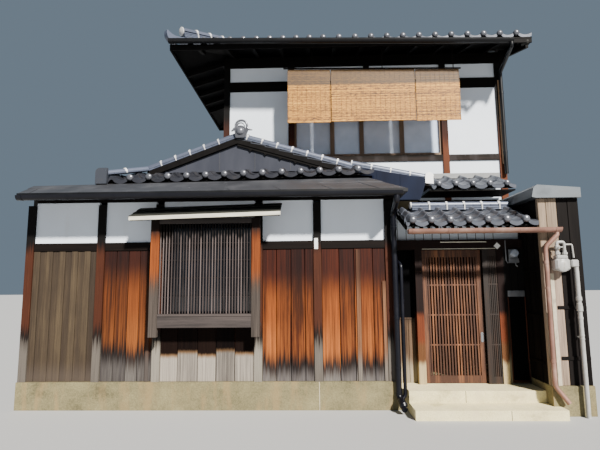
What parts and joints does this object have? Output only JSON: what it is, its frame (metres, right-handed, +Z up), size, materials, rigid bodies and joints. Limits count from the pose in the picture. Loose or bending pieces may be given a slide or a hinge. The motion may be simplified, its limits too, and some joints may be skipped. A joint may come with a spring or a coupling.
{
  "type": "two-storey machiya townhouse",
  "caption": "Timber townhouse with a hip-and-gable tiled front roof, lattice bay window, sliding lattice door and plastered upper storey.",
  "frame": {"origin": "underside of the front footing, below the third post of the front wall, a hand behind its front face", "axes": "+X along the street to the right, +Y into the plot, +Z up"},
  "size_m": [7.105, 5.117, 6.0734],
  "materials": {
    "concrete": "aged concrete",
    "floor_boards": "plain boards",
    "dark_timber": "dark stained timber",
    "weathered_boards": "weathered red-brown boards",
    "plaster": "smooth white lime plaster",
    "party_boards": "dark weathered boards",
    "bay_timber": "weathered dark timber",
    "bleached_timber": "sun-bleached timber",
    "dark_glass": "dark glass",
    "black_metal": "black sheet metal",
    "gutter_metal": "black coated metal",
    "roof_tiles": "smoked silver-grey tiles",
    "soffit_boards": "olive-brown boards",
    "window_timber": "brown stained timber",
    "window_glass": "clear glass",
    "bamboo": "split bamboo",
    "copper": "weathered copper",
    "door_timber": "warm red-brown timber",
    "dark_boards": "dark boards",
    "cap_metal": "dull grey sheet metal",
    "meter_metal": "light grey enamel",
    "meter_case": "dark grey",
    "slot_metal": "dull steel"
  },
  "bodies": {
    "house": {"plinth": "concrete", "entrance_steps": "concrete", "ground_floor": "floor_boards", "upper_floor": "floor_boards", "front_posts": "dark_timber", "front_boards": "weathered_boards", "front_plaster": "plaster", "wall_beams": "dark_timber", "party_wall_left": "party_boards", "party_wall_right": "party_boards", "rear_wall": "weathered_boards", "bay_frame": "bay_timber", "bay_lattice": "bay_timber", "bay_hood": "bleached_timber", "bay_window": "dark_glass", "metal_eave": "black_metal", "front_gutter": "gutter_metal", "low_roofs": "black_metal", "skirt_tiles": "roof_tiles", "front_roof_left": "roof_tiles", "front_roof_right": "roof_tiles", "roof_purlins": "dark_timber", "gable_panels": "black_metal", "side_eave_box": "soffit_boards", "front_roof_ridges": "roof_tiles", "ridge_ornament": "roof_tiles", "upper_wall_front": "plaster", "upper_wall_rear": "plaster", "upper_side_walls": "plaster", "upper_posts": "dark_timber", "upper_beams": "dark_timber", "upper_windows": "window_timber", "upper_glass": "window_glass", "upper_roof_front": "roof_tiles", "upper_roof_left": "roof_tiles", "upper_roof_rear": "roof_tiles", "upper_ridges": "roof_tiles", "upper_rafters": "dark_timber", "upper_gutter": "gutter_metal", "blind_pole": "dark_timber", "bamboo_blinds": "bamboo", "pent_roof": "roof_tiles", "entrance_roof": "roof_tiles", "entrance_rafters": "dark_timber", "copper_gutter": "copper", "door_frame": "door_timber", "side_lattice": "door_timber", "entrance_walls": "dark_boards", "annex_wall": "weathered_boards", "annex_cap": "cap_metal", "gas_meter": "meter_metal", "electric_meter": "meter_case", "letter_slot": "slot_metal"},
    "door": {"sliding_door": "door_timber"}
  },
  "joints": [
    {"name": "door_slide", "type": "slide", "parent": "house", "child": "door", "axis": [1, 0, 0], "range_m": [0, 0.52]}
  ]
}
